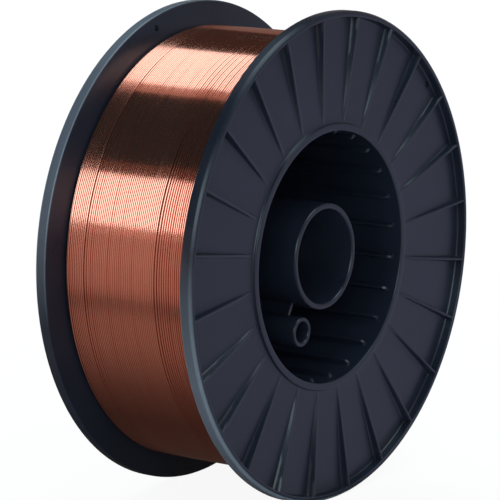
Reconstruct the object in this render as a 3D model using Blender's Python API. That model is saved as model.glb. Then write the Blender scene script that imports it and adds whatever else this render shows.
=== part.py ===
# Spool of welding wire: a one-piece black plastic spool of the 270 x 103 x 52 mm size, wound with
# copper-coated steel wire. Metres, +Z up. The spool's axis lies along Y, with the open end of its
# barrel towards -Y, and the origin is on that axis, midway between the two rims.

import math

import bmesh
import bpy
from mathutils import Vector

# Spool, overall
FLANGE_RADIUS = 0.135
SPOOL_WIDTH = 0.103
BORE_RADIUS = 0.0261
SEGMENTS = 72

# Flange: a thin rim stands proud of a flat panel, whose inner face tapers towards the rim
RIM_WIDTH = 0.007
RIM_CORNER_RADIUS = 0.0022
RIM_THICKNESS = 0.0035
PANEL_DEPTH = 0.0050
DISC_THICKNESS = 0.0044
DISC_TAPER_WIDTH = 0.008
EDGE_BREAK = 0.0005

# Raised ring round the mouth of the barrel
RING_HEIGHT = 0.0015
RING_WIDTH = 0.0040

# Barrel, hub tube, drive-pin tube and the disc that closes the far end. FLANGE_DEPTH runs from the
# flange's edge in to the barrel's bore, and the pin stands PIN_LEAN nearer the hub than midway.
FLANGE_DEPTH = 0.0656
BARREL_WALL = 0.0043
TUBE_END_DEPTH = 0.0080
HUB_WALL = 0.0033
PIN_TUBE_RADIUS = 0.0082
PIN_HOLE_RADIUS = 0.0058
PIN_LEAN = 0.0049
PIN_ANGLE = math.radians(-120.0)
END_DISC_THICKNESS = 0.0030
END_DISC_DEPTH = 0.0080
TIE_WEB_THICKNESS = 0.0020
TIE_WEB_SETBACK = 0.0120

# Ribs on the flanges and fins in the barrel share one pitch
RIB_COUNT = 24
FIRST_RIB_ANGLE = math.radians(5.9)
RIB_BASE_THICKNESS = 0.0026
RIB_TOP_THICKNESS = 0.0014
RIB_RIM_DROP = 0.0004
FIN_HEIGHT = 0.0026
FIN_BASE_THICKNESS = 0.0024
FIN_TOP_THICKNESS = 0.0016
FIN_SETBACK = 0.0052

# Holes near the rims, where the wire's end is hooked
WIRE_HOLE_RADIUS = 0.0017
WIRE_HOLE_INSET = 0.0027
NEAR_WIRE_HOLE_ANGLE = math.radians(41.0)
FAR_WIRE_HOLE_ANGLE = math.radians(107.0)

# Wire coil
WINDING_MARGIN = 0.0135
COIL_CLEARANCE = 0.0004
COIL_SHOULDER = 0.0007
SHOULDER_WIDTH = 0.0050
END_LAYERS = 6
LAYER_GROOVE = 0.0007

# How far a piece that is joined on runs into its neighbour
WELD = 0.0006
SMOOTH_ANGLE = math.radians(35.0)

HALF_WIDTH = SPOOL_WIDTH / 2
RIM_INNER_RADIUS = FLANGE_RADIUS - RIM_THICKNESS
DISC_EDGE_RADIUS = FLANGE_RADIUS - DISC_TAPER_WIDTH
WIRE_HOLE_PLACE = RIM_INNER_RADIUS - WIRE_HOLE_INSET
COIL_RADIUS = FLANGE_RADIUS - WINDING_MARGIN
PANEL_PLANE = HALF_WIDTH - PANEL_DEPTH
RING_PLANE = PANEL_PLANE + RING_HEIGHT
DISC_INNER_PLANE = PANEL_PLANE - DISC_THICKNESS
BARREL_BORE_RADIUS = FLANGE_RADIUS - FLANGE_DEPTH
BARREL_RADIUS = BARREL_BORE_RADIUS + BARREL_WALL
RING_RADIUS = BARREL_BORE_RADIUS + RING_WIDTH
HUB_RADIUS = BORE_RADIUS + HUB_WALL
TUBE_END_PLANE = HALF_WIDTH - TUBE_END_DEPTH
END_DISC_OUTER = HALF_WIDTH - END_DISC_DEPTH
END_DISC_INNER = END_DISC_OUTER - END_DISC_THICKNESS
PIN_OFFSET = (HUB_RADIUS + BARREL_BORE_RADIUS) / 2 - PIN_LEAN
PIN_X = PIN_OFFSET * math.cos(PIN_ANGLE)
PIN_Z = PIN_OFFSET * math.sin(PIN_ANGLE)


def clear_scene():
    for obj in list(bpy.data.objects):
        bpy.data.objects.remove(obj, do_unlink=True)


def srgb(hex_colour):
    """An sRGB hex colour as linear RGBA."""
    values = [int(hex_colour[i:i + 2], 16) / 255 for i in (1, 3, 5)]
    return [v / 12.92 if v <= 0.04045 else ((v + 0.055) / 1.055) ** 2.4 for v in values] + [1.0]


def moulded_plastic():
    """Blue-black high-impact polystyrene with the satin skin of a polished mould."""
    mat = bpy.data.materials.new("moulded_plastic")
    mat.use_nodes = True
    shader = mat.node_tree.nodes["Principled BSDF"]
    shader.inputs["Base Color"].default_value = srgb("#20242c")
    shader.inputs["Roughness"].default_value = 0.38
    return mat


def copper_coated_wire():
    """Drawn steel wire under a bright copper coat."""
    mat = bpy.data.materials.new("copper_coated_wire")
    mat.use_nodes = True
    shader = mat.node_tree.nodes["Principled BSDF"]
    shader.inputs["Base Color"].default_value = srgb("#c88667")
    shader.inputs["Metallic"].default_value = 1.0
    shader.inputs["Roughness"].default_value = 0.28
    return mat


def object_from(bm, name):
    mesh = bpy.data.meshes.new(name)
    bm.normal_update()
    bm.to_mesh(mesh)
    bm.free()
    obj = bpy.data.objects.new(name, mesh)
    bpy.context.scene.collection.objects.link(obj)
    return obj


def turned(name, profile, segments):
    """A closed outline of (radius, y) points turned about the Y axis."""
    bm = bmesh.new()
    # Half a step off the vertical, so that the lowest facet of each rim lies flat
    start = -math.pi / 2 + math.pi / segments
    rings = []
    for i in range(segments):
        angle = start + i * 2 * math.pi / segments
        rings.append([bm.verts.new((r * math.cos(angle), y, r * math.sin(angle))) for r, y in profile])
    for i in range(segments):
        here, there = rings[i], rings[(i + 1) % segments]
        for j in range(len(profile)):
            k = (j + 1) % len(profile)
            bm.faces.new((here[j], here[k], there[k], there[j]))
    bmesh.ops.recalc_face_normals(bm, faces=bm.faces)
    return object_from(bm, name)


def loft(bm, lower, upper):
    """Adds one closed solid between two outlines with the same number of points."""
    low = [bm.verts.new(p) for p in lower]
    high = [bm.verts.new(p) for p in upper]
    bm.faces.new(reversed(low))
    bm.faces.new(high)
    for i in range(len(low)):
        k = (i + 1) % len(low)
        bm.faces.new((low[i], low[k], high[k], high[i]))


def tube_solid(name, radius, x, z, y_low, y_high, segments):
    """A round bar along Y, as a pin tube's outside or a hole's cutter."""
    bm = bmesh.new()
    turn = [i * 2 * math.pi / segments for i in range(segments)]
    outline = [(x + radius * math.cos(a), z + radius * math.sin(a)) for a in turn]
    loft(bm, [(u, y_low, w) for u, w in outline], [(u, y_high, w) for u, w in outline])
    bmesh.ops.recalc_face_normals(bm, faces=bm.faces)
    return object_from(bm, name)


def combine(target, tool, operation):
    """Boolean with a helper solid, which is then removed."""
    mod = target.modifiers.new("combine", "BOOLEAN")
    mod.operation = operation
    mod.solver = "EXACT"
    mod.object = tool
    graph = bpy.context.evaluated_depsgraph_get()
    mesh = bpy.data.meshes.new_from_object(target.evaluated_get(graph))
    target.modifiers.remove(mod)
    old = target.data
    target.data = mesh
    bpy.data.meshes.remove(old)
    bpy.data.objects.remove(tool, do_unlink=True)
    mesh.name = target.name


def flange_outline():
    """Half of a flange's outline, from the barrel's mouth over ring, panel and rim to the winding."""
    corner_centre = (FLANGE_RADIUS - RIM_CORNER_RADIUS, HALF_WIDTH - RIM_CORNER_RADIUS)
    points = [
        (BARREL_BORE_RADIUS, RING_PLANE - EDGE_BREAK),
        (BARREL_BORE_RADIUS + EDGE_BREAK, RING_PLANE),
        (RING_RADIUS - EDGE_BREAK, RING_PLANE),
        (RING_RADIUS, PANEL_PLANE),
        (RIM_INNER_RADIUS - EDGE_BREAK, PANEL_PLANE),
        (RIM_INNER_RADIUS, PANEL_PLANE + EDGE_BREAK),
        (RIM_INNER_RADIUS + EDGE_BREAK / 2, HALF_WIDTH - EDGE_BREAK),
        (RIM_INNER_RADIUS + EDGE_BREAK, HALF_WIDTH),
    ]
    for step in range(4):
        angle = math.pi / 2 - step * math.pi / 6
        points.append((corner_centre[0] + RIM_CORNER_RADIUS * math.cos(angle),
                       corner_centre[1] + RIM_CORNER_RADIUS * math.sin(angle)))
    points += [
        (FLANGE_RADIUS, HALF_WIDTH - RIM_WIDTH + EDGE_BREAK),
        (FLANGE_RADIUS - EDGE_BREAK, HALF_WIDTH - RIM_WIDTH),
        (DISC_EDGE_RADIUS, DISC_INNER_PLANE + EDGE_BREAK),
        (BARREL_RADIUS, DISC_INNER_PLANE),
    ]
    return points


def spool_outline():
    """The moulding's whole section, from the hub tube's open end round to its far end."""
    near = [(r, -y) for r, y in flange_outline()]
    far = list(reversed(flange_outline()))
    near_end = [
        (BORE_RADIUS, -TUBE_END_PLANE + EDGE_BREAK),
        (BORE_RADIUS + EDGE_BREAK, -TUBE_END_PLANE),
        (HUB_RADIUS - EDGE_BREAK, -TUBE_END_PLANE),
        (HUB_RADIUS, -TUBE_END_PLANE + EDGE_BREAK),
        (HUB_RADIUS, END_DISC_INNER),
        (BARREL_BORE_RADIUS, END_DISC_INNER),
    ]
    far_end = [
        (BARREL_BORE_RADIUS, END_DISC_OUTER),
        (HUB_RADIUS, END_DISC_OUTER),
        (HUB_RADIUS, RING_PLANE),
        (BORE_RADIUS, RING_PLANE),
    ]
    return near_end + near + far + far_end


def radial_wedge(bm, angle, base, top, base_half, top_half):
    """One blade in the plane through the axis at an angle: its base and top edges are (radius, y) pairs."""
    along = Vector((math.cos(angle), 0.0, math.sin(angle)))
    across = Vector((-math.sin(angle), 0.0, math.cos(angle)))

    def point(place, side):
        return along * place[0] + Vector((0.0, place[1], 0.0)) + across * side

    lower = [point(base[0], -base_half), point(base[1], -base_half),
             point(base[1], base_half), point(base[0], base_half)]
    upper = [point(top[0], -top_half), point(top[1], -top_half),
             point(top[1], top_half), point(top[0], top_half)]
    loft(bm, lower, upper)


def flange_ribs(side):
    """The ribs of one flange: side is -1 for the near flange and +1 for the far one."""
    bm = bmesh.new()
    inner = RING_RADIUS - EDGE_BREAK
    outer = RIM_INNER_RADIUS + WELD
    base = [(inner, side * (PANEL_PLANE - WELD)), (outer, side * (PANEL_PLANE - WELD))]
    top = [(inner, side * (PANEL_PLANE + RING_HEIGHT / 2)), (outer, side * (HALF_WIDTH - RIB_RIM_DROP))]
    for i in range(RIB_COUNT):
        angle = FIRST_RIB_ANGLE + i * 2 * math.pi / RIB_COUNT
        radial_wedge(bm, angle, base, top, RIB_BASE_THICKNESS / 2, RIB_TOP_THICKNESS / 2)
    bmesh.ops.recalc_face_normals(bm, faces=bm.faces)
    return object_from(bm, "flange_ribs")


def barrel_fins():
    """Low fins along the inside of the barrel, with sloping front ends."""
    bm = bmesh.new()
    front = -RING_PLANE + FIN_SETBACK
    back = END_DISC_INNER + WELD
    foot = BARREL_BORE_RADIUS + WELD
    crest = BARREL_BORE_RADIUS - FIN_HEIGHT
    for i in range(RIB_COUNT):
        angle = FIRST_RIB_ANGLE + i * 2 * math.pi / RIB_COUNT
        radial_wedge(bm, angle, [(foot, front), (foot, back)], [(crest, front + FIN_HEIGHT / 2), (crest, back)],
                     FIN_BASE_THICKNESS / 2, FIN_TOP_THICKNESS / 2)
    bmesh.ops.recalc_face_normals(bm, faces=bm.faces)
    return object_from(bm, "barrel_fins")


def tie_web():
    """The thin web between the hub tube and the drive-pin tube."""
    bm = bmesh.new()
    along = Vector((math.cos(PIN_ANGLE), 0.0, math.sin(PIN_ANGLE)))
    across = Vector((-math.sin(PIN_ANGLE), 0.0, math.cos(PIN_ANGLE))) * TIE_WEB_THICKNESS / 2
    start = along * (HUB_RADIUS - WELD)
    end = along * (PIN_OFFSET - PIN_TUBE_RADIUS + WELD)
    corners = [start - across, end - across, end + across, start + across]
    front = Vector((0.0, -TUBE_END_PLANE + TIE_WEB_SETBACK, 0.0))
    back = Vector((0.0, END_DISC_INNER + WELD, 0.0))
    loft(bm, [c + front for c in corners], [c + back for c in corners])
    bmesh.ops.recalc_face_normals(bm, faces=bm.faces)
    return object_from(bm, "tie_web")


def wire_hole(side, angle):
    """The cutter for one wire-end hole through a flange."""
    x = WIRE_HOLE_PLACE * math.cos(angle)
    z = WIRE_HOLE_PLACE * math.sin(angle)
    ends = sorted((side * (DISC_INNER_PLANE - WELD), side * (HALF_WIDTH + WELD)))
    return tube_solid("wire_hole", WIRE_HOLE_RADIUS, x, z, ends[0], ends[1], 12)


def build_spool():
    spool = turned("spool", spool_outline(), SEGMENTS)
    for side in (-1, 1):
        combine(spool, flange_ribs(side), "UNION")
    combine(spool, barrel_fins(), "UNION")
    pin_tube = tube_solid("pin_tube", PIN_TUBE_RADIUS, PIN_X, PIN_Z, -TUBE_END_PLANE, END_DISC_INNER + WELD, 24)
    combine(spool, pin_tube, "UNION")
    combine(spool, tie_web(), "UNION")
    pin_hole = tube_solid("pin_hole", PIN_HOLE_RADIUS, PIN_X, PIN_Z, -HALF_WIDTH, HALF_WIDTH, 24)
    combine(spool, pin_hole, "DIFFERENCE")
    combine(spool, wire_hole(-1, NEAR_WIRE_HOLE_ANGLE), "DIFFERENCE")
    combine(spool, wire_hole(1, FAR_WIRE_HOLE_ANGLE), "DIFFERENCE")
    return spool


def coil_outline():
    """The coil's section: its ends show the wound layers as rounded courses with a groove between."""
    bore = BARREL_RADIUS + COIL_CLEARANCE
    half_inner = DISC_INNER_PLANE - COIL_CLEARANCE
    layer = (COIL_RADIUS - COIL_SHOULDER - bore) / END_LAYERS
    end = [(bore, half_inner - LAYER_GROOVE)]
    for i in range(END_LAYERS):
        end.append((bore + layer * (i + 0.25), half_inner))
        end.append((bore + layer * (i + 0.75), half_inner))
        end.append((bore + layer * (i + 1), half_inner - LAYER_GROOVE))
    end.append((COIL_RADIUS, half_inner - SHOULDER_WIDTH))
    return [(r, -y) for r, y in end] + list(reversed(end))


def build_coil():
    return turned("wire_coil", coil_outline(), SEGMENTS)


def finish(obj, material):
    obj.data.materials.clear()
    obj.data.materials.append(material)
    obj.data.shade_smooth()
    obj.data.set_sharp_from_angle(angle=SMOOTH_ANGLE)


clear_scene()
finish(build_spool(), moulded_plastic())
finish(build_coil(), copper_coated_wire())
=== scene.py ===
import math
import random

import bmesh
import bpy
from mathutils import Matrix, Vector


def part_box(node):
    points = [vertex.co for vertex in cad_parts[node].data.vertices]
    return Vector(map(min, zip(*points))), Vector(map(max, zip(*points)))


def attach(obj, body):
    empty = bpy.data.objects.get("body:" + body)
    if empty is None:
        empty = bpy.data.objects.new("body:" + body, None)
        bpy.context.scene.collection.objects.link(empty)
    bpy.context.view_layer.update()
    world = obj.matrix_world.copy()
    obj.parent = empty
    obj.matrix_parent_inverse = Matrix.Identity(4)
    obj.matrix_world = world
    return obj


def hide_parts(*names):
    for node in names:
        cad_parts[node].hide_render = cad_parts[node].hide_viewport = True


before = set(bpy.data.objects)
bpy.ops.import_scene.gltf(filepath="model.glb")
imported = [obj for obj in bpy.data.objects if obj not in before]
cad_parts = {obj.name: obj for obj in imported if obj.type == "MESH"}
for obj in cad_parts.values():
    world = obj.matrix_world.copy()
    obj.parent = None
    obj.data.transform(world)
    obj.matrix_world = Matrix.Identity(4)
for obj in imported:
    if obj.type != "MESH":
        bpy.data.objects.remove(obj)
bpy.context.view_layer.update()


# Spool
# The reel that carries the wire: one injection moulding in blue-black high-impact polystyrene, with
# two ribbed flanges, a hollow barrel with fins along its inside, and a hub tube for the spindle.
# Its whole skin is one section turned about Y that swells at each rib and fin.

MM = 0.001
spool_low, spool_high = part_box("spool")
coil_low, coil_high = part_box("wire_coil")

half_width = spool_high.y
flange_radius = spool_high.x
rib_count = 24
first_rib = math.radians(5.9)

rim_width = 7.0 * MM
rim_corner = 2.2 * MM
rim_thickness = 3.5 * MM
panel_depth = 5.0 * MM
disc_thickness = 4.4 * MM
disc_taper = 8.0 * MM
ring_height = 1.5 * MM
ring_width = 4.0 * MM
barrel_bore = 69.4 * MM
barrel_wall = 4.3 * MM
bore_radius = 26.1 * MM
hub_wall = 3.3 * MM
tube_end_depth = 8.0 * MM
end_disc_depth = 8.0 * MM
end_disc_thickness = 3.0 * MM
edge_round = 0.5 * MM
foot_fillet = 0.9 * MM
wall_draft = 0.1 * MM
tube_end_round = 1.1 * MM

rib_top_half = 0.7 * MM
rib_foot_half = 1.3 * MM
rib_rim_drop = 0.4 * MM
rib_start_height = 0.25 * MM
rib_start_length = 12.0 * MM
fin_height = 2.6 * MM
fin_top_half = 0.8 * MM
fin_foot_half = 1.2 * MM
fin_setback = 5.2 * MM
fin_nose_length = 3.0 * MM

# A rib's or fin's cross-section: a flat top with rounded edges, drafted sides and a fillet. The
# shares say how much of its height the rounding and the fillet take.
top_round = 0.2 * MM
top_round_share = 0.04
fillet_reach = 0.9 * MM
fillet_share = 0.12

panel_plane = half_width - panel_depth
ring_plane = panel_plane + ring_height
disc_inner = panel_plane - disc_thickness
rim_inner = flange_radius - rim_thickness
ring_radius = barrel_bore + ring_width
barrel_radius = barrel_bore + barrel_wall
hub_radius = bore_radius + hub_wall
tube_end = half_width - tube_end_depth
end_disc_outer = half_width - end_disc_depth
end_disc_inner = end_disc_outer - end_disc_thickness


def linear(hex_colour):
    """An sRGB hex colour as linear RGBA."""
    values = [int(hex_colour[i:i + 2], 16) / 255 for i in (1, 3, 5)]
    return [v / 12.92 if v <= 0.04045 else ((v + 0.055) / 1.055) ** 2.4 for v in values] + [1.0]


def add_node(tree, kind, settings=None, links=None):
    """Adds a node, sets its properties and sockets, and links its inputs."""
    node = tree.nodes.new(kind)
    for name, value in (settings or {}).items():
        if isinstance(name, int) or name in node.inputs:
            node.inputs[name].default_value = value
        else:
            setattr(node, name, value)
    for name, source in (links or {}).items():
        tree.links.new(source, node.inputs[name])
    return node


def new_material(name):
    """A material with its Principled shader, ready for nodes."""
    material = bpy.data.materials.new(name)
    material.use_nodes = True
    tree = material.node_tree
    return material, tree, tree.nodes["Principled BSDF"]


def smooth_step(value):
    value = min(max(value, 0.0), 1.0)
    return value * value * (3 - 2 * value)


def arc(centre, radius, start, end, steps):
    """Points of a round corner in the section, with angles in degrees from +radius towards +y."""
    angles = [math.radians(start + (end - start) * i / steps) for i in range(steps + 1)]
    return [(centre[0] + radius * math.cos(a), centre[1] + radius * math.sin(a)) for a in angles]


def flange_section():
    """One flange's section from the barrel's mouth to the winding, as (radius, y, zone) points."""
    crest_round = edge_round * 0.8
    panel_steps, wall_steps = 14, 6
    panel_start = ring_radius + foot_fillet
    panel_length = rim_inner - foot_fillet - ring_radius - foot_fillet
    wall_start = panel_plane + foot_fillet
    wall_height = panel_depth - foot_fillet - crest_round
    rim_edge = half_width - rim_width
    ring = (arc((barrel_bore + edge_round, ring_plane - edge_round), edge_round, 180, 90, 4)
            + arc((ring_radius - edge_round, ring_plane - edge_round), edge_round, 90, 0, 4)
            + arc((ring_radius + foot_fillet, panel_plane + foot_fillet), foot_fillet, 180, 270, 4))
    panel = [(panel_start + panel_length * i / panel_steps, panel_plane)
             for i in range(1, panel_steps)]
    corner = arc((rim_inner - foot_fillet, panel_plane + foot_fillet), foot_fillet, 270, 360, 4)
    wall = [(rim_inner + wall_draft * i / wall_steps, wall_start + wall_height * i / wall_steps)
            for i in range(1, wall_steps)]
    crest = (arc((rim_inner + wall_draft + crest_round, half_width - crest_round), crest_round,
                 180, 90, 4)
             + arc((flange_radius - rim_corner, half_width - rim_corner), rim_corner, 90, 0, 8))
    back = (arc((flange_radius - edge_round, rim_edge + edge_round), edge_round, 0, -90, 3)
            + [(flange_radius - disc_taper, disc_inner + edge_round), (barrel_radius, disc_inner)])
    return ([(r, y, "plain") for r, y in ring] + [(r, y, "rib") for r, y in panel + corner + wall]
            + [(r, y, "plain") for r, y in crest + back])


def moulding_section():
    """The whole closed section of the spool, from the hub tube's open end round to its far end."""
    near = [(r, -y, zone) for r, y, zone in flange_section()]
    far = list(reversed(flange_section()))
    hub_mouth = -tube_end + tube_end_round
    hub_end = (arc((bore_radius + tube_end_round, hub_mouth), tube_end_round, 180, 270, 5)
               + arc((hub_radius - tube_end_round, hub_mouth), tube_end_round, 270, 360, 5))
    inside = [(hub_radius, end_disc_inner - foot_fillet),
              (hub_radius + foot_fillet, end_disc_inner),
              (barrel_bore - foot_fillet - fin_height, end_disc_inner)]
    # Places along the fins, close together over their rounded noses
    fin_front = -ring_plane + fin_setback
    behind_front = (12.0, 5.0, 3.0, 2.0, 1.2, 0.6, 0.2, 0.0, -0.6)
    fin_places = ([end_disc_inner - foot_fillet, 0.0]
                  + [fin_front + place * MM for place in behind_front])
    barrel = [(barrel_bore, y) for y in fin_places]
    outside = ([(barrel_bore, end_disc_outer), (hub_radius, end_disc_outer)]
               + arc((hub_radius - edge_round, ring_plane - edge_round), edge_round, 0, 90, 3)
               + arc((bore_radius + edge_round, ring_plane - edge_round), edge_round, 90, 180, 3))
    return ([(r, y, "plain") for r, y in hub_end + inside] + [(r, y, "fin") for r, y in barrel]
            + near + far + [(r, y, "plain") for r, y in outside])


def swell(offset, top_half, foot_half):
    """A rib's height at an offset from its middle, from 1 on its top to 0 past its fillet."""
    away = abs(offset)
    if away <= top_half - top_round:
        return 1.0
    if away <= top_half:
        return 1.0 - top_round_share * ((away - top_half + top_round) / top_round) ** 2
    if away <= foot_half:
        side_share = 1.0 - top_round_share - fillet_share
        return 1.0 - top_round_share - side_share * (away - top_half) / (foot_half - top_half)
    return fillet_share * max(0.0, 1 - (away - foot_half) / fillet_reach) ** 2


def moulded_point(r, y, zone, offset):
    """A section point as the mould gives it at an offset across the nearest rib or fin."""
    if zone == "rib":
        # A rib starts low at the ring and climbs in a straight line to the rim
        start = rib_start_height * smooth_step((r - ring_radius) / rib_start_length)
        climb = panel_depth - rib_rim_drop - rib_start_height
        rise = start + climb * (r - ring_radius) / (rim_inner - ring_radius)
        lifted = panel_plane + rise * swell(offset, rib_top_half, rib_foot_half)
        return r, math.copysign(max(abs(y), lifted), y)
    if zone == "fin":
        nose = min(max((y + ring_plane - fin_setback) / fin_nose_length, 0.0), 1.0)
        rise = fin_height * math.sqrt(1 - (1 - nose) ** 2)
        return r - rise * swell(offset, fin_top_half, fin_foot_half), y
    return r, y


def build_moulding():
    """The turned skin: close columns across each rib and fin, and wider ones between them."""
    section = moulding_section()
    offsets_mm = [-2.2, -1.75, -1.5, -1.3, -1.0, -0.7, -0.5, 0.0,
                  0.5, 0.7, 1.0, 1.3, 1.5, 1.75, 2.2]
    between = 6
    pitch = 2 * math.pi / rib_count
    bm = bmesh.new()
    columns = []
    for rib in range(rib_count):
        middle = first_rib + rib * pitch
        for offset in offsets_mm:
            column = []
            for r, y, zone in section:
                r, y = moulded_point(r, y, zone, offset * MM)
                column.append(turned_vertex(bm, r, y, middle + offset * MM / r))
            columns.append(column)
        for step in range(1, between):
            column = []
            for r, y, zone in section:
                edge = offsets_mm[-1] * MM / r
                angle = middle + edge + (pitch - 2 * edge) * step / between
                column.append(turned_vertex(bm, r, y, angle))
            columns.append(column)
    close_round(bm, columns)
    return mesh_object(bm, "spool_moulding")


def turned_vertex(bm, r, y, angle, x=0.0, z=0.0):
    """A vertex at a radius and an angle round the reel's axis, or round a line parallel to it."""
    return bm.verts.new((x + r * math.cos(angle), y, z + r * math.sin(angle)))


def close_round(bm, columns):
    """Skins columns that run round a closed section and stand in a closed ring."""
    for i, here in enumerate(columns):
        there = columns[(i + 1) % len(columns)]
        for j in range(len(here)):
            k = (j + 1) % len(here)
            bm.faces.new((here[j], here[k], there[k], there[j]))
    bmesh.ops.recalc_face_normals(bm, faces=bm.faces)


def mesh_object(bm, name):
    mesh = bpy.data.meshes.new(name)
    bm.normal_update()
    bm.to_mesh(mesh)
    bm.free()
    obj = bpy.data.objects.new(name, mesh)
    bpy.context.scene.collection.objects.link(obj)
    return obj


spool_moulding = build_moulding()


# Drive-pin tube, the web that ties it to the hub tube, and the holes
# The tube takes the pin of the wire feeder's spindle. Both it and the web are cored in the same
# shot of plastic, so they are joined to the skin, and the pin and wire-end holes are cut through.

pin_offset = 44.5 * MM
pin_angle = math.radians(-120.0)
pin_tube_radius = 8.2 * MM
pin_hole_radius = 5.8 * MM
pin_tube_round = 0.8 * MM
pin_tube_steps = 64
web_half = 1.0 * MM
web_setback = 12.0 * MM
wire_hole_radius = 1.7 * MM
wire_hole_place = rim_inner - 2.7 * MM
near_hole_angle = math.radians(41.0)
far_hole_angle = math.radians(107.0)
wire_hole_steps = 32
# How far joined pieces run into each other and cutters past a face, and what counts as a sliver
overlap = 0.6 * MM
past = 1.0 * MM
sliver = 0.002 * MM

pin_x = pin_offset * math.cos(pin_angle)
pin_z = pin_offset * math.sin(pin_angle)


def prism(bm, outline, low, high):
    """Adds a closed prism along Y over an outline of (x, z) points."""
    front = [bm.verts.new((x, low, z)) for x, z in outline]
    rear = [bm.verts.new((x, high, z)) for x, z in outline]
    bm.faces.new(front)
    bm.faces.new(reversed(rear))
    for i in range(len(front)):
        k = (i + 1) % len(front)
        bm.faces.new((front[i], rear[i], rear[k], front[k]))


def circle(x, z, radius, steps):
    turn = [2 * math.pi * i / steps for i in range(steps)]
    return [(x + radius * math.cos(a), z + radius * math.sin(a)) for a in turn]


def combine(target, tool, operation):
    """Joins or cuts with a helper solid, which is then removed."""
    modifier = target.modifiers.new("combine", "BOOLEAN")
    modifier.operation = operation
    modifier.solver = "EXACT"
    modifier.object = tool
    graph = bpy.context.evaluated_depsgraph_get()
    mesh = bpy.data.meshes.new_from_object(target.evaluated_get(graph))
    target.modifiers.remove(modifier)
    target.data = mesh
    bpy.data.objects.remove(tool, do_unlink=True)


def pin_tube():
    """A tube with a rounded mouth that runs back into the end disc."""
    bm = bmesh.new()
    mouth = -tube_end + pin_tube_round
    root = end_disc_inner + overlap
    profile = (arc((pin_hole_radius + pin_tube_round, mouth), pin_tube_round, 180, 270, 5)
               + arc((pin_tube_radius - pin_tube_round, mouth), pin_tube_round, 270, 360, 5)
               + [(pin_tube_radius, root), (pin_hole_radius, root)])
    turns = [2 * math.pi * i / pin_tube_steps for i in range(pin_tube_steps)]
    close_round(bm, [[turned_vertex(bm, r, y, angle, pin_x, pin_z) for r, y in profile]
                     for angle in turns])
    return mesh_object(bm, "pin_tube")


def tie_web():
    """The web between the hub tube and the pin tube, set well back from their mouths."""
    bm = bmesh.new()
    along = (math.cos(pin_angle), math.sin(pin_angle))
    near, far = hub_radius - overlap, pin_offset - pin_tube_radius + overlap
    corners = ((near, -web_half), (far, -web_half), (far, web_half), (near, web_half))
    outline = [(along[0] * r - along[1] * side, along[1] * r + along[0] * side)
               for r, side in corners]
    prism(bm, outline, -tube_end + web_setback, end_disc_inner + overlap)
    bmesh.ops.recalc_face_normals(bm, faces=bm.faces)
    return mesh_object(bm, "tie_web")


def hole_cutters():
    bm = bmesh.new()
    prism(bm, circle(pin_x, pin_z, pin_hole_radius, pin_tube_steps), end_disc_inner - 2 * past,
          half_width)
    for side, angle in ((-1, near_hole_angle), (1, far_hole_angle)):
        x, z = wire_hole_place * math.cos(angle), wire_hole_place * math.sin(angle)
        low, high = sorted((side * (disc_inner - past), side * (half_width + past)))
        prism(bm, circle(x, z, wire_hole_radius, wire_hole_steps), low, high)
    bmesh.ops.recalc_face_normals(bm, faces=bm.faces)
    return mesh_object(bm, "hole_cutters")


def clean_up(target):
    """Takes out the slivers that the joins and cuts leave."""
    bm = bmesh.new()
    bm.from_mesh(target.data)
    bmesh.ops.dissolve_degenerate(bm, dist=sliver, edges=bm.edges)
    bm.to_mesh(target.data)
    bm.free()


combine(spool_moulding, pin_tube(), "UNION")
combine(spool_moulding, tie_web(), "UNION")
combine(spool_moulding, hole_cutters(), "DIFFERENCE")
clean_up(spool_moulding)
spool_moulding.data.shade_smooth()
spool_moulding.data.set_sharp_from_angle(angle=math.radians(40))


def reel_coordinates(tree):
    """Object coordinates, their parts, and the distance from the reel's axis."""
    place = add_node(tree, "ShaderNodeTexCoord").outputs["Object"]
    axes = add_node(tree, "ShaderNodeSeparateXYZ", links={"Vector": place})
    flat = add_node(tree, "ShaderNodeCombineXYZ",
                    links={"X": axes.outputs["X"], "Y": axes.outputs["Z"]})
    radius = add_node(tree, "ShaderNodeVectorMath", {"operation": "LENGTH"}, {0: flat.outputs[0]})
    return place, axes, radius.outputs["Value"]


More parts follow.
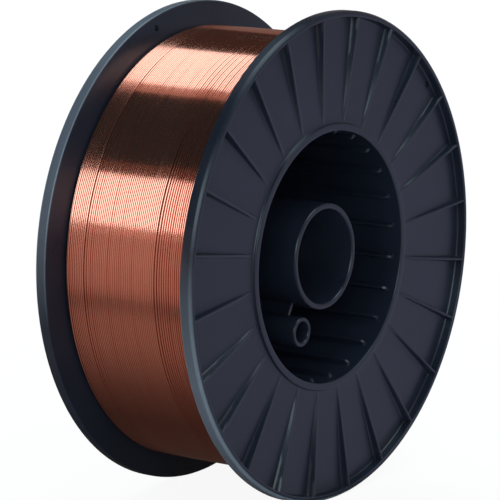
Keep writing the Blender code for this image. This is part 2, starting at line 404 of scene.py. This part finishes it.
def satin_polystyrene():
    """High-impact polystyrene from a fine-blasted mould: a soft sheen, not a mirror, that breaks up
    over flow marks tens of millimetres long, and a paler painted sheen and highlights on one side
    of the rims."""
    material, tree, shader = new_material("satin_polystyrene")
    place, axes, radius = reel_coordinates(tree)
    # Flow marks, 22 to the metre, so each is about 45 mm long
    flow = add_node(tree, "ShaderNodeTexNoise", {"Scale": 22.0, "Detail": 3.0},
                    {"Vector": place}).outputs["Fac"]
    # Blasted skin of about 0.1 mm, drawn at 0.6 mm so that it shows at the size of the picture
    skin = add_node(tree, "ShaderNodeTexNoise", {"Scale": 1 / (0.625 * MM), "Detail": 2.0},
                    {"Vector": place})
    tone = add_node(tree, "ShaderNodeMapRange", {"From Min": 0.35, "From Max": 0.65},
                    {"Value": flow})
    colour = add_node(tree, "ShaderNodeMix",
                      {"data_type": "RGBA", 6: linear("#171c28"), 7: linear("#1b212e")},
                      {0: tone.outputs["Result"]})
    rough = add_node(tree, "ShaderNodeMapRange",
                     {"From Min": 0.3, "From Max": 0.7, "To Min": 0.26, "To Max": 0.34},
                     {"Value": flow})
    bump = add_node(tree, "ShaderNodeBump", {"Strength": 0.06, "Distance": 0.0002},
                    {"Height": skin.outputs["Fac"]})

    # Painted sheen: a paler colour on only the outermost skin of the rims, on their lit -x side,
    # where 26 y z - x is over 0.115 to 0.2 m. The y z part takes it further round on one rim.
    outermost = add_node(tree, "ShaderNodeMapRange", {"From Min": flange_radius - 0.9 * MM,
                                                      "From Max": flange_radius - 0.2 * MM},
                         {"Value": radius})
    drift = add_node(tree, "ShaderNodeMath", {"operation": "MULTIPLY", 1: 0.03}, {0: flow})
    twist = add_node(tree, "ShaderNodeMath", {"operation": "MULTIPLY"},
                     {0: axes.outputs["Y"], 1: axes.outputs["Z"]})
    leaning = add_node(tree, "ShaderNodeMath", {"operation": "MULTIPLY_ADD", 1: 26.0},
                       {0: twist.outputs[0], 2: drift.outputs[0]})
    side = add_node(tree, "ShaderNodeMath", {"operation": "SUBTRACT"},
                    {0: leaning.outputs[0], 1: axes.outputs["X"]})
    lit_side = add_node(tree, "ShaderNodeMapRange", {"From Min": 0.115, "From Max": 0.2},
                      {"Value": side.outputs[0]})
    painted_sheen = add_node(tree, "ShaderNodeMath", {"operation": "MULTIPLY"},
                    {0: outermost.outputs["Result"], 1: lit_side.outputs["Result"]})
    # The paler colour painted on the rims' lit side, for their sheen
    sheened = add_node(tree, "ShaderNodeMix", {"data_type": "RGBA", 7: linear("#4f5762")},
                    {0: painted_sheen.outputs[0], 6: colour.outputs[2]})

    # The rim's two corners on that side get a painted highlight, paler still: the outer one is
    # where radius plus width is largest, the inner one where radius less width is
    along = add_node(tree, "ShaderNodeMath", {"operation": "ABSOLUTE"}, {0: axes.outputs["Y"]})
    outer_place = add_node(tree, "ShaderNodeMath", {"operation": "ADD"},
                           {0: radius, 1: along.outputs[0]})
    outer_edge = flange_radius + half_width
    outer_corner = add_node(tree, "ShaderNodeMapRange", {"From Min": outer_edge - 1.9 * MM,
                                                         "From Max": outer_edge - 1.4 * MM},
                            {"Value": outer_place.outputs[0]})
    inner_place = add_node(tree, "ShaderNodeMath", {"operation": "SUBTRACT"},
                           {0: radius, 1: along.outputs[0]})
    inner_edge = flange_radius - half_width + rim_width
    inner_corner = add_node(tree, "ShaderNodeMapRange", {"From Min": inner_edge - 0.8 * MM,
                                                         "From Max": inner_edge - 0.3 * MM},
                            {"Value": inner_place.outputs[0]})
    corners = add_node(tree, "ShaderNodeMath", {"operation": "MAXIMUM"},
                       {0: outer_corner.outputs["Result"], 1: inner_corner.outputs["Result"]})
    painted_crest_highlight = add_node(tree, "ShaderNodeMath", {"operation": "MULTIPLY"},
                      {0: corners.outputs[0], 1: lit_side.outputs["Result"]})
    crest_highlighted = add_node(tree, "ShaderNodeMix", {"data_type": "RGBA", 7: linear("#66707c")},
                       {0: painted_crest_highlight.outputs[0], 6: sheened.outputs[2]})

    tree.links.new(crest_highlighted.outputs[2], shader.inputs["Base Color"])
    tree.links.new(rough.outputs["Result"], shader.inputs["Roughness"])
    tree.links.new(bump.outputs["Normal"], shader.inputs["Normal"])
    shader.inputs["IOR"].default_value = 1.59
    shader.inputs["Specular IOR Level"].default_value = 0.32
    return material


spool_moulding.data.materials.clear()
spool_moulding.data.materials.append(satin_polystyrene())
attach(spool_moulding, "root")
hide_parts("spool")


# Winding
# One length of 1.2 mm copper-coated steel wire, laid turn against turn by a traverse winder. Only
# the outer layer shows, so it is a skin of round turns that step sideways by one wire each time
# round: at one flange the wire rises from the layer below, and at the other it goes back under.

wire_diameter = 1.2 * MM
flange_gap = 0.4 * MM
coil_radius = coil_high.x
turn_steps = 228
lean_angles = [math.radians(a) for a in (-72, -36, 0, 36, 72)]
# Wires of one layer lie in the grooves of the layer below, so a layer is 0.87 of a wire high
layer_drop = wire_diameter * 0.87
# How far the last two turns go down, as parts of a layer, and where the first of them starts
tuck_shares = (0.55, 0.45)
tuck_start, tuck_length = 0.8, 0.2
# How far a turn strays sideways and up and down
sway_range = (0.01, 0.03)
lift_range = (0.004, 0.018)
# A groove's floor, and how it goes down where the turns stand apart
groove_floor = 0.06 * MM
gap_slope = 3.5
gap_depth = 1.2 * MM
first_turn_angle = math.pi / 4
coil_inset = 0.05 * MM

wire_radius = wire_diameter / 2
winding_half = disc_inner - flange_gap
centre_radius = coil_radius - wire_radius - coil_inset
# Where the winder left a gap: after which turn, and how wide in mm on the front and over the top.
# Both widths add up to the same, so the last turn lies against the flange all the way round.
gaps = ((4, 0.7, 0.4), (7, 0.3, 0.4), (10, 0.3, 0), (11, 0.3, 0.6), (12, 0.3, 0), (13, 0.3, 0),
        (14, 0.3, 0.6), (15, 0.3, 0), (16, 1.0, 0), (17, 0, 0.6), (19, 0, 0.6), (21, 0, 0.6),
        (24, 0, 0.4), (28, 0.25, 0.3), (35, 0.25, 0.2), (41, 0.4, 0.3), (50, 0.4, 0.1),
        (53, 0.9, 0.9), (62, 0.6, 0.6))
slack = sum(front for turn, front, top in gaps) * MM
scuffed_from = 28.5 * MM
turn_count = round((2 * winding_half - wire_diameter - slack) / wire_diameter) + 1


def turn_places(angle_deg):
    """The axial place of each turn at an angle round the reel, from one flange to the other."""
    top_share = smooth_step((155 - angle_deg) / 35) * smooth_step(angle_deg / 60)
    widths = {turn: (front + (top - front) * top_share) * MM for turn, front, top in gaps}
    places = [-winding_half + wire_radius]
    for turn in range(turn_count - 1):
        places.append(places[-1] + wire_diameter + widths.get(turn, 0.0))
    return places


def build_winding():
    rng = random.Random(7)
    count = turn_count
    sway = [(rng.uniform(0, 2 * math.pi), rng.uniform(*sway_range) * MM,
             rng.uniform(0, 2 * math.pi), rng.uniform(*lift_range) * MM) for _ in range(count + 2)]
    bm = bmesh.new()
    columns = []
    for step in range(turn_steps):
        share = step / turn_steps
        around = 2 * math.pi * share
        angle = around + first_turn_angle
        starts = ([-winding_half - wire_radius] + turn_places(math.degrees(angle) % 360)
                  + [winding_half + wire_radius])
        centres, levels = [], []
        for turn in range(count + 1):
            centre = starts[turn] + (starts[turn + 1] - starts[turn]) * share
            # The first turn climbs up from the layer below, and the last two go back under
            drop = 0.0
            if turn == 0:
                drop = layer_drop * (1 - smooth_step(share))
            if turn == count - 1:
                drop = tuck_shares[0] * layer_drop * smooth_step((share - tuck_start) / tuck_length)
            if turn == count:
                drop = layer_drop * (tuck_shares[0] + tuck_shares[1] * smooth_step(share))
            # A turn becomes the next one as it comes round, so its sway fades from one to the other
            phase, across, lift_phase, lift = sway[turn]
            next_phase, next_across, next_lift_phase, next_lift = sway[turn + 1]
            drift = ((1 - share) * across * math.sin(2 * around + phase)
                     + share * next_across * math.sin(2 * around + next_phase))
            rise = ((1 - share) * lift * math.sin(3 * around + lift_phase)
                    + share * next_lift * math.sin(3 * around + next_lift_phase))
            limit = winding_half - wire_radius
            centres.append(min(max(centre + drift, -limit), limit))
            levels.append(centre_radius - drop + rise)
        points = [(barrel_radius, -winding_half)]
        for turn in range(count + 1):
            for lean in lean_angles:
                points.append((levels[turn] + wire_radius * math.cos(lean),
                               centres[turn] + wire_radius * math.sin(lean)))
            if turn < count:
                # The groove down to where the two turns touch, or to the layer below at a gap
                space = max(centres[turn + 1] - centres[turn] - wire_diameter, 0.0)
                level = min(levels[turn], levels[turn + 1])
                floor = level - groove_floor - min(gap_slope * space, gap_depth)
                points.append((floor, (centres[turn] + centres[turn + 1]) / 2))
        points.append((barrel_radius, winding_half))
        columns.append([turned_vertex(bm, r, y, angle) for r, y in points])
    per_turn = len(lean_angles) + 1
    ends = len(columns[0]) - 1
    for i, here in enumerate(columns[:-1]):
        there = columns[i + 1]
        for j in range(ends + 1):
            k = (j + 1) % (ends + 1)
            bm.faces.new((here[j], here[k], there[k], there[j]))
    # The seam: turn n of the last column meets turn n + 1 of the first, and one face at each end
    # of the winding covers the step that this leaves
    here, there = columns[-1], columns[0]
    last = ends - per_turn - 1
    for j in range(1, last):
        bm.faces.new((here[j], here[j + 1], there[j + 1 + per_turn], there[j + per_turn]))
    bm.faces.new(here[:2] + there[per_turn + 1::-1])
    bm.faces.new(here[last:] + there[:-3:-1])
    bm.faces.new((here[ends], here[0], there[0], there[ends]))
    bmesh.ops.recalc_face_normals(bm, faces=bm.faces)
    return mesh_object(bm, "wire_winding")


def copper_coated_steel():
    """Drawn steel wire with a bright copper coat: a mirror-like pink metal, streaked along its
    length by the die, a little duller near the far flange, and painted dark brown in the gaps for
    shade."""
    material, tree, shader = new_material("copper_coated_steel")
    place, axes, radius = reel_coordinates(tree)
    turn = add_node(tree, "ShaderNodeMath", {"operation": "ARCTAN2"},
                    {0: axes.outputs["Z"], 1: axes.outputs["X"]})
    # Streaks about 50 mm long at the coil's radius, and 1.6 mm wide, a little over one wire
    long_way = add_node(tree, "ShaderNodeMath", {"operation": "MULTIPLY", 1: 2.4},
                        {0: turn.outputs[0]})
    cross_way = add_node(tree, "ShaderNodeMath", {"operation": "MULTIPLY", 1: 620.0},
                         {0: axes.outputs["Y"]})
    streak_place = add_node(tree, "ShaderNodeCombineXYZ",
                            links={"X": long_way.outputs[0], "Y": cross_way.outputs[0]})
    streaks = add_node(tree, "ShaderNodeTexNoise", {"Scale": 1.0, "Detail": 3.0, "Roughness": 0.6},
                       {"Vector": streak_place.outputs[0]}).outputs["Fac"]
    tone = add_node(tree, "ShaderNodeMapRange", {"From Min": 0.3, "From Max": 0.7},
                    {"Value": streaks})
    colour = add_node(tree, "ShaderNodeMix",
                      {"data_type": "RGBA", 6: linear("#e39a85"), 7: linear("#eaa28d")},
                      {0: tone.outputs["Result"]})
    rough = add_node(tree, "ShaderNodeMapRange",
                     {"From Min": 0.3, "From Max": 0.7, "To Min": 0.08, "To Max": 0.12},
                     {"Value": streaks})
    # The turns beyond the widest gap were laid last, over the guide, and are scuffed duller
    scuffed = add_node(tree, "ShaderNodeMapRange",
                       {"From Min": scuffed_from, "From Max": scuffed_from + 1 * MM,
                        "To Min": 0.0, "To Max": 0.05}, {"Value": axes.outputs["Y"]})
    duller = add_node(tree, "ShaderNodeMath", {"operation": "ADD"},
                      {0: rough.outputs["Result"], 1: scuffed.outputs["Result"]})
    # Painted shade: down in the gaps the wire is painted dark brown, for the shade there
    painted_gap_shade = add_node(tree, "ShaderNodeMapRange",
                    {"From Min": centre_radius - 0.4 * MM, "From Max": centre_radius - 0.12 * MM,
                     "To Min": 1.0, "To Max": 0.0}, {"Value": radius})
    gap_shaded = add_node(tree, "ShaderNodeMix", {"data_type": "RGBA", 7: linear("#3c241c")},
                     {0: painted_gap_shade.outputs["Result"], 6: colour.outputs[2]})
    tree.links.new(gap_shaded.outputs[2], shader.inputs["Base Color"])
    tree.links.new(duller.outputs[0], shader.inputs["Roughness"])
    shader.inputs["Metallic"].default_value = 1.0
    return material


wire_winding = build_winding()
wire_winding.data.shade_smooth()
wire_winding.data.set_sharp_from_angle(angle=math.radians(60))
wire_winding.data.materials.append(copper_coated_steel())
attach(wire_winding, "root")
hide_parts("wire_coil")


# Floor and room
# A white studio floor that runs out of sight, in a white room. Camera and reflections see the
# room at its full white, and it lights the reel more softly.

floor_half = 8.0
floor_z = spool_low.z
own_white = 0.92
room_light_share = 0.45


def stage_plane(name, centre, across, up):
    """A stage panel through centre, with half its sides as two vectors."""
    bm = bmesh.new()
    corners = [bm.verts.new([centre[i] + across[i] * a + up[i] * b for i in range(3)])
               for a, b in ((-1, -1), (1, -1), (1, 1), (-1, 1))]
    bm.faces.new(corners)
    panel = mesh_object(bm, name)
    return panel


def seen_directly(tree):
    """1 for rays that show the background itself: camera, glossy and transmission rays."""
    path = add_node(tree, "ShaderNodeLightPath")
    seen = add_node(tree, "ShaderNodeMath", {"operation": "MAXIMUM"},
                    {0: path.outputs["Is Camera Ray"], 1: path.outputs["Is Glossy Ray"]})
    return add_node(tree, "ShaderNodeMath", {"operation": "MAXIMUM"},
                    {0: seen.outputs[0], 1: path.outputs["Is Transmission Ray"]}).outputs[0]


def painted_floor():
    """Matt white floor paint. Most of its white is its own, so that it ends unseen in the white
    room, and the rest is lit and carries the reel's soft shadow."""
    material, tree, shader = new_material("painted_floor")
    shader.inputs["Base Color"].default_value = linear("#f4f4f4")
    shader.inputs["Roughness"].default_value = 0.9
    shader.inputs["Specular IOR Level"].default_value = 0.0
    glow = add_node(tree, "ShaderNodeEmission", {"Color": (1.0, 1.0, 1.0, 1.0), "Strength": 1.0})
    share = add_node(tree, "ShaderNodeMath", {"operation": "MULTIPLY", 1: own_white},
                     {0: seen_directly(tree)})
    mix = add_node(tree, "ShaderNodeMixShader",
                   links={0: share.outputs[0], 1: shader.outputs[0], 2: glow.outputs[0]})
    tree.links.new(mix.outputs[0], tree.nodes["Material Output"].inputs["Surface"])
    return material


floor = stage_plane("floor", (0.0, 0.0, floor_z), (floor_half, 0, 0), (0, floor_half, 0))
floor.data.materials.append(painted_floor())

world = bpy.data.worlds.new("white_room")
world.use_nodes = True
bpy.context.scene.world = world
room = world.node_tree
room_light = room.nodes["Background"]
room_light.inputs["Color"].default_value = (1.0, 1.0, 1.0, 1.0)
strength = add_node(room, "ShaderNodeMapRange", {"To Min": room_light_share, "To Max": 1.0},
                    {"Value": seen_directly(room)})
room.links.new(strength.outputs["Result"], room_light.inputs["Strength"])


# Camera
# A long lens at the photograph's angle: well round to the barrel's open side and a little above.
# The reflection cards of the next section are bent for where it stands.

frame_pixels = 500
lens_pixels = 3151.9
view_azimuth = math.radians(-54.50)
view_elevation = math.radians(10.58)
view_distance = 1.7483
across_shift = -6.0 * MM
up_shift = -1.1 * MM

camera_data = bpy.data.cameras.new("camera")
camera_data.sensor_width = 36.0
camera_data.lens = lens_pixels / frame_pixels * camera_data.sensor_width
camera = bpy.data.objects.new("camera", camera_data)
bpy.context.scene.collection.objects.link(camera)
back = Vector((math.sin(view_azimuth) * math.cos(view_elevation),
               -math.cos(view_azimuth) * math.cos(view_elevation), math.sin(view_elevation)))
right = Vector((0.0, 0.0, 1.0)).cross(back).normalized()
up = back.cross(right)
viewpoint = back * view_distance + right * across_shift + up * up_shift
turned = Matrix((right, up, back)).transposed().to_4x4()
camera.matrix_world = Matrix.Translation(viewpoint) @ turned
camera_data.clip_end = 50.0
bpy.context.scene.camera = camera
bpy.context.scene.view_settings.view_transform = "Standard"


# Lights and reflection cards
# Two long softboxes hang parallel to the reel's axis, one above and behind it and one high on the
# camera's side, and a fill lamp stands on the closed side. Reflections see cards in their stead,
# bent round the reel so that each one draws a clean band across the winding.

def around_axis(angle_deg, distance, along):
    """A place round the reel's axis: 0 is +X and 90 is up."""
    angle = math.radians(angle_deg)
    return Vector((distance * math.cos(angle), along, distance * math.sin(angle)))


def area_lamp(name, place, outwards, long_way, width, height, radiance, tint):
    """A lamp with its back outwards, hidden from reflections. Its power gives its radiance."""
    light = bpy.data.lights.new(name, "AREA")
    light.shape = "RECTANGLE"
    light.size = width
    light.size_y = height
    light.energy = radiance * math.pi * width * height
    light.color = tint
    lamp = bpy.data.objects.new(name, light)
    bpy.context.scene.collection.objects.link(lamp)
    lamp.visible_camera = False
    lamp.visible_glossy = False
    turn = Matrix((long_way, outwards.cross(long_way), outwards)).transposed().to_4x4()
    lamp.matrix_world = Matrix.Translation(place) @ turn


def softbox(name, low_deg, high_deg, distance, near, far, radiance, tint):
    """A softbox parallel to the reel's axis that fills an angle round it."""
    middle = (low_deg + high_deg) / 2
    height = 2 * distance * math.tan(math.radians((high_deg - low_deg) / 2))
    area_lamp(name, around_axis(middle, distance, (near + far) / 2), around_axis(middle, 1.0, 0.0),
              Vector((0.0, 1.0, 0.0)), far - near, height, radiance, tint)


def show_in_reflections_only(card, shade, tint):
    """Gives a card an even tone of its own and hides it from all but glossy rays."""
    material, tree, shader = new_material(card.name)
    glow = add_node(tree, "ShaderNodeEmission", {"Color": (*tint, 1.0), "Strength": shade})
    tree.links.new(glow.outputs[0], tree.nodes["Material Output"].inputs["Surface"])
    card.data.materials.append(material)
    card.visible_camera = False
    card.visible_diffuse = False
    card.visible_shadow = False
    card.visible_transmission = False
    return tree, glow


def mirrored_place(turn_deg, swing_deg):
    """Where the camera's line goes after the wire at an angle round the reel mirrors it, for the
    part of the wire's round back that swings it this far along the axis."""
    turn, swing = math.radians(turn_deg), math.radians(swing_deg)
    outwards = Vector((math.cos(turn), 0.0, math.sin(turn)))
    around = Vector((-math.sin(turn), 0.0, math.cos(turn)))
    place = outwards * coil_radius
    turned = -(viewpoint - place).normalized().dot(around)
    swung = outwards * math.cos(swing) + Vector((0.0, 1.0, 0.0)) * math.sin(swing)
    target = place + (around * turned + swung * math.sqrt(1 - turned ** 2)) * card_distance
    target.z = max(target.z, floor_z + card_clearance)
    return target


def wrap_card(name, low_deg, high_deg, near_swing, far_swing, shade, tint):
    """A card bent round the reel so that every side of the wire mirrors it over the same angles."""
    bm = bmesh.new()
    rows, columns = 8, 16
    grid = [[bm.verts.new(mirrored_place(low_deg + (high_deg - low_deg) * i / rows,
                                         near_swing + (far_swing - near_swing) * j / columns))
             for j in range(columns + 1)] for i in range(rows + 1)]
    for here, there in zip(grid, grid[1:]):
        for j in range(columns):
            bm.faces.new((here[j], here[j + 1], there[j + 1], there[j]))
    card = mesh_object(bm, name)
    show_in_reflections_only(card, shade, tint)


card_distance = 1.9
card_clearance = 5.0 * MM
cloth_lift = 0.3 * MM
daylight = (0.76, 0.94, 1.0)
cool_black = (0.6, 0.9, 1.0)
warm_grey = (1.0, 0.83, 0.76)
slate = (0.74, 0.75, 1.0)
neutral = (1.0, 1.0, 1.0)

# Name, the angle round the reel it fills, distance, its two ends along the axis, radiance, tint
softbox("rear_softbox", 62, 89, 2.0, -2.3, 1.1, 2.5, daylight)
softbox("front_softbox", 145, 166, 2.2, -2.6, 0.45, 2.9, daylight)
fill_place = Vector((1.7, 1.8, 1.3))
fill_side = 1.6
fill_radiance = 7.0
fill_long_way = fill_place.cross(Vector((0.0, 0.0, 1.0))).normalized()
area_lamp("closed_side_fill", fill_place, fill_place.normalized(), fill_long_way, fill_side,
          fill_side, fill_radiance, daylight)

# Name, the angles round the reel that mirror it, how far round each wire it reaches, shade, tint
for wrap in (("rear_grey_card", 70, 94, -80, 80, 0.22, warm_grey),
             ("rear_black_card", 94, 110.6, -80, 80, 0.05, warm_grey),
             ("rear_softbox_front", 110.6, 126.4, -80, 30, 3.0, daylight),
             ("rear_softbox_end", 110.6, 126.4, 30, 80, 0.3, cool_black),
             ("rear_softbox_edge", 126.4, 129.4, -80, 80, 0.5, warm_grey),
             ("top_black_card", 129.4, 150.2, -80, 80, 0.05, cool_black),
             ("front_softbox_skirt", 150.2, 153.5, -80, 80, 0.13, warm_grey),
             ("front_softbox_front", 153.5, 166.4, -80, 10, 3.6, daylight),
             ("front_black_card", 153.5, 166.4, 10, 80, 0.05, cool_black),
             ("front_softbox_edge", 166.4, 168.6, -80, 80, 0.62, warm_grey),
             ("front_grey_card", 168.6, 176.5, -80, 80, 0.48, warm_grey)):
    wrap_card(*wrap)

# Flat cards at the ends of the set and beside it, and a cloth on the floor before the open side
for name, centre, half_across, half_up, shade, tint in (
        ("far_end_card", (0.0, 3.4, 1.2), (4, 0, 0), (0, 0, 1.4), 0.05, neutral),
        ("near_end_card", (0.0, -3.6, 1.2), (4, 0, 0), (0, 0, 1.4), 0.42, warm_grey),
        ("right_card", (2.0, -1.5, 0.6), (1.1, 1.5, 0), (0, 0, 0.8), 0.4, slate),
        ("front_cloth", (1.19, -3.03, floor_z + 2 * cloth_lift), (1.21, 0, 0), (0, 2.97, 0), 0.52,
         slate)):
    show_in_reflections_only(stage_plane(name, centre, half_across, half_up), shade, tint)

# A cloth under the reel, for reflections too: warm grey on the camera's side, with a dark fold,
# a painted shadow of the reel right under it, and slate on the far side. Its stops are places
# across it in metres, and their shades.
cloth_stops = ((-0.62, 0.45), (-0.50, 0.40), (-0.42, 0.19), (-0.36, 0.20), (-0.31, 0.28),
               (-0.22, 0.27), (-0.17, 0.19), (-0.13, 0.10), (-0.09, 0.05), (0.10, 0.05),
               (0.30, 0.46), (1.0, 0.50))
slate_from = 0.2
cloth = stage_plane("floor_cloth", (0.0, 0.0, floor_z + cloth_lift), (2.4, 0, 0), (0, 6, 0))
tree, glow = show_in_reflections_only(cloth, 1.0, neutral)
cloth_place = add_node(tree, "ShaderNodeSeparateXYZ",
                       links={"Vector": add_node(tree, "ShaderNodeTexCoord").outputs["Object"]})
share_across = add_node(tree, "ShaderNodeMapRange", {"From Min": -1.0, "From Max": 1.0},
                        {"Value": cloth_place.outputs["X"]})
ramp = add_node(tree, "ShaderNodeValToRGB", links={"Fac": share_across.outputs["Result"]})
stops = ramp.color_ramp.elements
for i, (x, shade) in enumerate(cloth_stops):
    position = (x + 1) / 2
    stop = stops[i] if i < 2 else stops.new(position)
    stop.position = position
    tint = warm_grey if x < slate_from else slate
    stop.color = (*[shade * part for part in tint], 1.0)
tree.links.new(ramp.outputs["Color"], glow.inputs["Color"])
